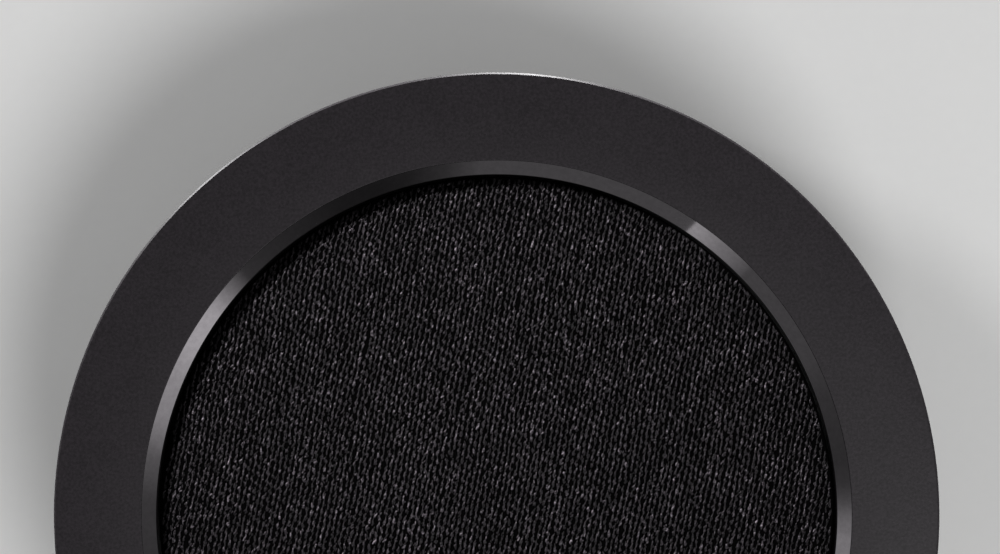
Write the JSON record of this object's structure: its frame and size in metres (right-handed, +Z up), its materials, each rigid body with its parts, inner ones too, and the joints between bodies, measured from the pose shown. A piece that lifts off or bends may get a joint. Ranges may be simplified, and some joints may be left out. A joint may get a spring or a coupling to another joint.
{
  "type": "smart home hub",
  "caption": "Round table-top smart home hub with a metal rim, a polished inner bevel, a recessed cloth speaker grille and a moulded base with network and power sockets.",
  "frame": {"origin": "centre of the foot ring's underside, on the surface the hub stands on", "axes": "+Z up through the cloth grille, -Y the front, +Y the side with the sockets, +X to the right seen from the front"},
  "size_m": [0.12, 0.12, 0.04],
  "materials": {
    "rim_metal": "matte fine-grained powder coat, dark grey",
    "polished_metal": "polished, dark anodised",
    "cloth": "woven speaker cloth, near-black",
    "black_plastic": "fine texture",
    "base_plastic": "fine spark texture, dark grey",
    "foot_rubber": "matte",
    "boot_rubber": "matte",
    "board_laminate": "solder-mask green",
    "steel": "zinc plated",
    "tin_shield": "tin plated",
    "ferrite": "ground ceramic magnet",
    "copper": "enamelled copper winding",
    "paper_cone": "pressed paper",
    "gold_contact": "gold plated",
    "aluminium_plain": "extruded",
    "light_plastic": "clear light pipe",
    "white_plastic": "moulded",
    "chip_black": "moulded epoxy",
    "orange_cloth": "phenolic-dipped cloth",
    "grey_pad": "soft gap filler",
    "lead_insulation": "soft insulation"
  },
  "bodies": {
    "hub": {"rim_ring": "rim_metal", "bevel_ring": "polished_metal", "fabric_cover": "cloth", "grille_frame": "black_plastic", "cloth_clamp_ring": "black_plastic", "mic_board": "board_laminate", "mic_board_screws": "steel", "microphones": "tin_shield", "mic_boots": "boot_rubber", "status_leds": "white_plastic", "light_pipes": "light_plastic", "chassis": "black_plastic", "rim_screws": "steel", "speaker_gasket": "boot_rubber", "speaker_basket": "steel", "speaker_top_plate": "steel", "speaker_magnet": "ferrite", "speaker_yoke": "steel", "speaker_surround": "boot_rubber", "speaker_spider": "orange_cloth", "speaker_terminals": "black_plastic", "speaker_screws": "steel", "lower_housing": "base_plastic", "case_screws": "steel", "foot_pad": "foot_rubber", "main_board": "board_laminate", "board_screws": "steel", "processor_chip": "chip_black", "processor_shield": "tin_shield", "thermal_pad": "grey_pad", "heat_sink": "aluminium_plain", "radio_shield": "tin_shield", "board_chips": "chip_black", "power_capacitors": "aluminium_plain", "power_inductors": "ferrite", "wifi_antennas": "tin_shield", "mesh_antenna": "white_plastic", "ethernet_jack": "black_plastic", "ethernet_lights": "light_plastic", "ethernet_contacts": "gold_contact", "power_jack": "steel", "power_jack_tongue": "black_plastic", "pair_switch_body": "black_plastic", "mute_switch_body": "black_plastic", "speaker_header": "white_plastic", "speaker_leads": "lead_insulation", "ribbon_sockets": "black_plastic", "ribbon_cable": "white_plastic"},
    "speaker_motion": {"speaker_cone": "paper_cone", "speaker_dust_cap": "paper_cone", "voice_coil": "copper"},
    "pair_button": {"pair_button": "black_plastic", "pair_switch_plunger": "white_plastic"},
    "mute_slider": {"mute_slider": "black_plastic", "mute_switch_lever": "white_plastic"}
  },
  "joints": [
    {"name": "speaker_stroke", "type": "slide", "parent": "hub", "child": "speaker_motion", "axis": [0, 0, 1], "range_m": [-0.0008, 0.0008], "stiffness_N_per_m": 900, "deforming": ["speaker_surround", "speaker_spider"]},
    {"name": "pair_press", "type": "slide", "parent": "hub", "child": "pair_button", "axis": [0, -1, 0], "range_m": [0, 0.0006], "stiffness_N_per_m": 700},
    {"name": "mute_slide", "type": "slide", "parent": "hub", "child": "mute_slider", "axis": [1, 0, 0], "range_m": [0, 0.002]}
  ]
}
